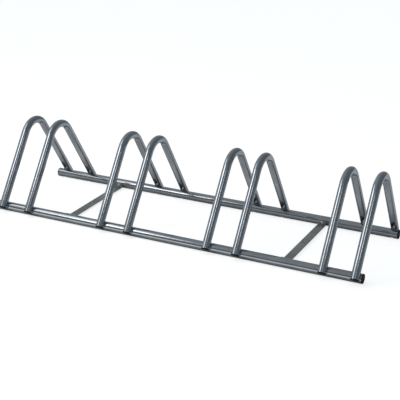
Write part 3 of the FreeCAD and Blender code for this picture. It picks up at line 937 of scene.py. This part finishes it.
class Nodes:
    """Short calls for the shader nodes of a material or a world."""

    def __init__(self, block):
        block.use_nodes = True
        self.block = block
        self.tree = block.node_tree

    def node(self, kind, inputs=(), **settings):
        made = self.tree.nodes.new("ShaderNode" + kind)
        for key, value in settings.items():
            setattr(made, key, value)
        for key, value in dict(inputs).items():
            self.put(made.inputs[key], value)
        return made

    def put(self, socket, value):
        if isinstance(value, bpy.types.NodeSocket):
            self.tree.links.new(value, socket)
        else:
            socket.default_value = value

    def surface(self):
        """Coordinates in metres along and around a tube, from the piece's own UV."""
        return self.node("UVMap", uv_map="surface").outputs["UV"]

    def place(self):
        """Coordinates in metres in the piece's own frame."""
        return self.node("TexCoord").outputs["Object"]

    def stretched(self, vector, scale):
        mapping = self.node("Mapping", {"Vector": vector, "Scale": scale})
        return mapping.outputs["Vector"]

    def noise(self, vector, scale, detail=4.0, roughness=0.55):
        made = self.node("TexNoise", {"Vector": vector, "Scale": scale, "Detail": detail,
                                      "Roughness": roughness})
        return made.outputs["Fac"]

    def spread(self, value, low, high, out_low=0.0, out_high=1.0):
        made = self.node("MapRange", {"Value": value, "From Min": low, "From Max": high,
                                      "To Min": out_low, "To Max": out_high})
        return made.outputs["Result"]

    def math(self, operation, first, second):
        made = self.node("Math", operation=operation)
        self.put(made.inputs[0], first)
        self.put(made.inputs[1], second)
        return made.outputs["Value"]

    def mix(self, share, first, second):
        made = self.node("Mix", data_type="RGBA")
        self.put(made.inputs["Factor"], share)
        self.put(made.inputs["A"], first)
        self.put(made.inputs["B"], second)
        return made.outputs["Result"]

    def bump(self, height, strength, distance, below=None):
        made = self.node("Bump", {"Height": height, "Strength": strength, "Distance": distance})
        if below is not None:
            self.put(made.inputs["Normal"], below)
        return made.outputs["Normal"]

    def set(self, **sockets):
        """Values of the material's main shader, its socket names with _ for a space."""
        shader = self.tree.nodes["Principled BSDF"]
        for key, value in sockets.items():
            self.put(shader.inputs[key.replace("_", " ")], value)


def colour(red, green, blue):
    return (red, green, blue, 1.0)


def zinc_material(name, light, dark, smooth, rough, draw_lines):
    """Zinc-plated steel: cloudy plating, faint lines along the metal and small scuffs.

    light and dark are the clouds' colours, smooth and rough their roughness and draw_lines
    the depth of the lines.  Where "inside" is 1 the surface is a pale, dull hollow.
    """
    kit = Nodes(bpy.data.materials.new(name))
    place = kit.place()
    surface = kit.surface()
    clouds = kit.noise(place, 22.0, 5.0)
    blooms = kit.noise(place, 160.0, 4.0)
    lines = kit.noise(kit.stretched(surface, (9.0, 900.0, 1.0)), 1.0, 3.0)
    scuffs = kit.noise(kit.stretched(surface, (60.0, 700.0, 1.0)), 1.0, 6.0, 0.7)
    scuff = kit.spread(scuffs, 0.62, 0.72)
    tone = kit.mix(kit.spread(clouds, 0.35, 0.65), light, dark)
    tone = kit.mix(kit.math("MULTIPLY", kit.spread(blooms, 0.45, 0.7), 0.35), tone, dark)
    dull = kit.mix(kit.math("MULTIPLY", scuff, 0.25), tone, dark)
    gloss = kit.spread(clouds, 0.3, 0.7, smooth, rough)
    gloss = kit.math("ADD", gloss, kit.math("MULTIPLY", scuff, 0.05))
    gloss = kit.math("ADD", gloss, kit.spread(blooms, 0.3, 0.7, -0.02, 0.03))
    fine = kit.bump(lines, draw_lines, 0.00002)
    relief = kit.bump(blooms, 0.012, 0.00005, fine)
    hollow = kit.node("Attribute", attribute_name="inside").outputs["Fac"]
    seen = kit.mix(hollow, dull, colour(0.62, 0.63, 0.63))
    gloss = kit.math("MAXIMUM", gloss, kit.math("MULTIPLY", hollow, 0.60))
    metal = kit.math("SUBTRACT", 1.0, hollow)
    kit.set(Base_Color=seen, Roughness=gloss, Normal=relief, Metallic=metal)
    return kit.block


def plastic_material(name):
    """Black moulded plastic: fine spark-eroded grain and flow marks."""
    kit = Nodes(bpy.data.materials.new(name))
    place = kit.place()
    grain = kit.noise(place, 1800.0, 2.0)
    flow = kit.noise(place, 70.0, 4.0)
    dark = colour(0.006, 0.006, 0.007)
    light = colour(0.016, 0.016, 0.017)
    tone = kit.mix(kit.spread(flow, 0.35, 0.65), dark, light)
    gloss = kit.spread(flow, 0.3, 0.7, 0.42, 0.60)
    relief = kit.bump(grain, 0.25, 0.00006)
    kit.set(Base_Color=tone, Roughness=gloss, Normal=relief, Specular_IOR_Level=0.2)
    return kit.block


BRIGHT_ZINC = zinc_material(
    "bright_zinc_plate", colour(0.44, 0.465, 0.49), colour(0.36, 0.385, 0.41),
    smooth=0.10, rough=0.15, draw_lines=0.03)
DULL_ZINC = zinc_material(
    "dull_zinc_plate", colour(0.44, 0.455, 0.43), colour(0.35, 0.36, 0.345),
    smooth=0.36, rough=0.48, draw_lines=0.35)
HARDWARE_ZINC = zinc_material(
    "hardware_zinc_plate", colour(0.90, 0.91, 0.93), colour(0.80, 0.81, 0.83),
    smooth=0.20, rough=0.32, draw_lines=0.10)
BLACK_PLASTIC = plastic_material("black_moulded_plastic")

# ---------------------------------------------------------------------------
# The rack
# ---------------------------------------------------------------------------


def add_hoops():
    """Eight hoops, each with the plugs of its rear and its front leg."""
    hoop = hoop_shell()
    plug = leg_plug()
    for number, x in enumerate(HOOP_X, start=1):
        rear = placed(plug, shifted(x))
        front = placed(plug, half_turned(x))
        piece(f"hoop_{number}", placed(hoop, shifted(x)), BRIGHT_ZINC)
        piece(f"hoop_{number}_rear_plug", rear, BLACK_PLASTIC)
        piece(f"hoop_{number}_front_plug", front, BLACK_PLASTIC)


def add_rails():
    """The rear rail, and the front one, drawn at the rear and turned about."""
    piece("rear_rail", rail_shell(1), BRIGHT_ZINC)
    piece("front_rail", placed(rail_shell(-1), half_turn), BRIGHT_ZINC)


def add_caps():
    """A cap on each end of each rail."""
    cap = placed(rail_cap(), cap_on_right_end)
    for row, y in (("front", -RAIL_Y), ("rear", RAIL_Y)):
        right = placed(cap, shifted(0.0, y, RAIL_R))
        left = placed(cap, half_turned(0.0, y, RAIL_R))
        piece(f"{row}_rail_right_cap", right, BLACK_PLASTIC)
        piece(f"{row}_rail_left_cap", left, BLACK_PLASTIC)


def add_cross_bars():
    """The two flat bars between the rails."""
    bar = cross_bar()
    for side, x in zip(("left", "right"), BAR_X):
        piece(f"{side}_cross_bar", placed(bar, shifted(x)), DULL_ZINC)


def add_fasteners():
    """The nuts and bolts of the hoops' clamps, the screws and inserts of the bars."""
    shells = {
        "hoop_dome_nuts": at_every_foot(dome_nut(), lifted(TONGUE_TOP)),
        "hoop_clamp_bolts": at_every_foot(clamp_bolt(), lifted(BOLT_HEAD_TOP)),
        "cross_bar_screws": at_bar_ends(bar_screw(), BAR_END_Y - BAR_THICK),
        "cross_bar_inserts": at_bar_ends(rail_insert(), BAR_END_Y + FLANGE),
    }
    for node, shell in shells.items():
        piece(node, shell, HARDWARE_ZINC)


add_hoops()
add_rails()
add_caps()
add_cross_bars()
add_fasteners()

# ---------------------------------------------------------------------------
# Stage, light and camera
# ---------------------------------------------------------------------------

# The floor's glow to the camera, and what the zinc mirrors of it, a painted reflection: painted shade
# up to PAINTED_SHADE_END from a rail's middle line, all from FULL_REFLECTION_FROM on, at a level for
# each part of the floor.
FLOOR_GLOW = 0.74
PAINTED_SHADE_END = 0.025
FULL_REFLECTION_FROM = 0.060
# Levels of the painted reflection: a painted pool of light in front, less between the rails, rising
# again towards the rear.
MIRRORED_IN_FRONT = 0.70
MIRRORED_BETWEEN = 0.12
MIRRORED_AT_REAR = 0.12
FRONT_FALL = 10 * MM
REAR_RISE_FROM = 40 * MM
REAR_RISE_TO = 90 * MM

# How far the painted shade on the floor, seen through a bar's hole, lies from the hole, along -X and
# +Y.
HOLE_SHADE_X = 7 * MM
HOLE_SHADE_Y = 14.5 * MM

ROOM_FAR = colour(0.17, 0.20, 0.23)
ROOM_NEAR = colour(0.46, 0.48, 0.49)
ROOM_FRONT = colour(0.09, 0.10, 0.11)
BAND_EDGES = (("Z", -0.02, 0.12), ("Z", 0.56, 0.38), ("Y", -0.45, -0.75))
BAND_STRENGTH = 0.75

CAMERA_PLACE = (1.31004, -2.64792, 1.22986)
CAMERA_YAW = 0.4528
CAMERA_PITCH = 0.3724
CAMERA_ROLL = 0.0090
CAMERA_SENSOR = 36.0
CAMERA_LENS = 94.382

RACK_MIDDLE = (0.0, 0.0, 0.1)


def away_from(kit, value, middle):
    """Distance of a coordinate from a place on its axis."""
    return kit.math("ABSOLUTE", kit.math("SUBTRACT", value, middle), 0.0)


def glow_to_camera(kit, ray, x, y):
    """One glow all over the floor, but none in a small rectangle for each bar's hole: a painted shade
    seen through the hole.
    """
    glow = kit.math("MULTIPLY", ray, FLOOR_GLOW)
    beyond = kit.spread(away_from(kit, y, HOLE_SHADE_Y), 2 * BAR_HOLE_R, 3 * BAR_HOLE_R)
    for bar_x in BAR_X:
        from_bar = away_from(kit, x, bar_x - HOLE_SHADE_X)
        aside = kit.spread(from_bar, BAR_HOLE_R, 1.5 * BAR_HOLE_R)
        glow = kit.math("MULTIPLY", glow, kit.math("MAXIMUM", beyond, aside))
    return glow


def painted_floor_reflection(kit, ray, y):
    """The floor's glow as the zinc mirrors it, a painted reflection: painted shade along the rails and
    painted light strongest in front.
    """
    # pale is the share of the painted reflection, none in the painted shade along each rail.
    pale = kit.spread(away_from(kit, kit.math("ABSOLUTE", y, 0.0), RAIL_Y), PAINTED_SHADE_END, FULL_REFLECTION_FROM)
    level = kit.spread(y, -RAIL_Y, FRONT_FALL - RAIL_Y, MIRRORED_IN_FRONT, MIRRORED_BETWEEN)
    rear = kit.spread(y, REAR_RISE_FROM, REAR_RISE_TO, 0.0, MIRRORED_AT_REAR)
    level = kit.math("ADD", level, rear)
    return kit.math("MULTIPLY", ray, kit.math("MULTIPLY", pale, level))


def floor_material():
    """Pale floor, white to the camera but for soft shadows and a painted shade under each bar's hole,
    with a painted reflection in the zinc, and clear from below.
    """
    kit = Nodes(bpy.data.materials.new("pale_floor"))
    mottle = kit.noise(kit.place(), 3.0, 2.0)
    tone = kit.mix(mottle, colour(0.80, 0.80, 0.79), colour(0.84, 0.84, 0.83))
    ray = kit.node("LightPath").outputs
    split = kit.node("SeparateXYZ", {"Vector": kit.place()}).outputs
    seen = glow_to_camera(kit, ray["Is Camera Ray"], split["X"], split["Y"])
    # What the zinc mirrors of the floor is painted: a painted reflection with painted shade along the
    # rails.
    painted_reflection = painted_floor_reflection(kit, ray["Is Glossy Ray"], split["Y"])
    kit.set(Base_Color=tone, Roughness=0.9, Specular_IOR_Level=0.1,
            Emission_Color=colour(1, 1, 1), Emission_Strength=kit.math("ADD", seen, painted_reflection))
    below = kit.node("NewGeometry").outputs["Backfacing"]
    nodes = kit.tree.nodes
    either = kit.node("MixShader", {"Fac": below, 1: nodes["Principled BSDF"].outputs["BSDF"]})
    kit.put(either.inputs[2], kit.node("BsdfTransparent").outputs["BSDF"])
    kit.put(nodes["Material Output"].inputs["Surface"], either.outputs["Shader"])
    return kit.block


def add_floor():
    """A wide floor just under the rack."""
    reach = 12.0
    mesh = bpy.data.meshes.new("floor_surface")
    corners = [(-reach, -reach, 0), (reach, -reach, 0), (reach, reach, 0), (-reach, reach, 0)]
    mesh.from_pydata(corners, [], [(0, 1, 2, 3)])
    mesh.materials.append(floor_material())
    floor = bpy.data.objects.new("floor", mesh)
    bpy.context.scene.collection.objects.link(floor)


def add_panel(name, at, aim, size, power):
    """A soft rectangular light at a point, facing another point."""
    light = bpy.data.lights.new(name, "AREA")
    light.shape = "RECTANGLE"
    light.size, light.size_y = size
    light.energy = power
    lamp = bpy.data.objects.new(name, light)
    lamp.location = at
    lamp.rotation_euler = (Vector(aim) - Vector(at)).to_track_quat("-Z", "Y").to_euler()
    bpy.context.scene.collection.objects.link(lamp)


def set_world():
    """A plain room: paler towards the key lamps and darker and cooler away from them.

    A dark band lies low in front.  It is the product of a ramp for each of its edges, along
    an axis of the direction looked in.
    """
    world = bpy.data.worlds.new("studio")
    bpy.context.scene.world = world
    kit = Nodes(world)
    way = kit.node("TexCoord").outputs["Generated"]
    toward = kit.node("VectorMath", {0: way, 1: (-1.0, -0.1, 0.0)}, operation="DOT_PRODUCT")
    share = kit.node("MapRange", {"Value": toward.outputs["Value"], "From Min": -0.6},
                     interpolation_type="SMOOTHSTEP")
    room = kit.mix(share.outputs["Result"], ROOM_FAR, ROOM_NEAR)
    split = kit.node("SeparateXYZ", {"Vector": way}).outputs
    band = BAND_STRENGTH
    for axis, start, end in BAND_EDGES:
        band = kit.math("MULTIPLY", kit.spread(split[axis], start, end), band)
    kit.put(kit.tree.nodes["Background"].inputs["Color"], kit.mix(band, room, ROOM_FRONT))


def add_camera():
    """The photograph's view: place, direction and lens solved from the rack's own lines."""
    ahead = np.array([-math.sin(CAMERA_YAW), math.cos(CAMERA_YAW), 0.0])
    forward = ahead * math.cos(CAMERA_PITCH) - np.array([0.0, 0.0, math.sin(CAMERA_PITCH)])
    level = np.array([math.cos(CAMERA_YAW), math.sin(CAMERA_YAW), 0.0])
    above = np.cross(level, forward)
    right = level * math.cos(CAMERA_ROLL) + above * math.sin(CAMERA_ROLL)
    up = above * math.cos(CAMERA_ROLL) - level * math.sin(CAMERA_ROLL)
    lens = bpy.data.cameras.new("photo_camera")
    lens.sensor_width = CAMERA_SENSOR
    lens.lens = CAMERA_LENS
    lens.clip_end = 60.0
    camera = bpy.data.objects.new("photo_camera", lens)
    turned = Matrix((right, up, -forward)).transposed().to_4x4()
    turned.translation = CAMERA_PLACE
    camera.matrix_world = turned
    bpy.context.scene.collection.objects.link(camera)
    bpy.context.scene.camera = camera


add_floor()
set_world()
add_camera()
add_panel("key_left", (-1.15, -1.25, 1.45), RACK_MIDDLE, (0.6, 0.6), 3.6)
add_panel("key_far_left", (-1.28, -0.48, 1.48), (-0.3, 0.1, 0.0), (0.9, 0.85), 2.6)
add_panel("lamp_over_camera", (1.43, -2.23, 2.29), RACK_MIDDLE, (0.35, 0.35), 1.4)
bpy.context.scene.view_settings.view_transform = "Standard"
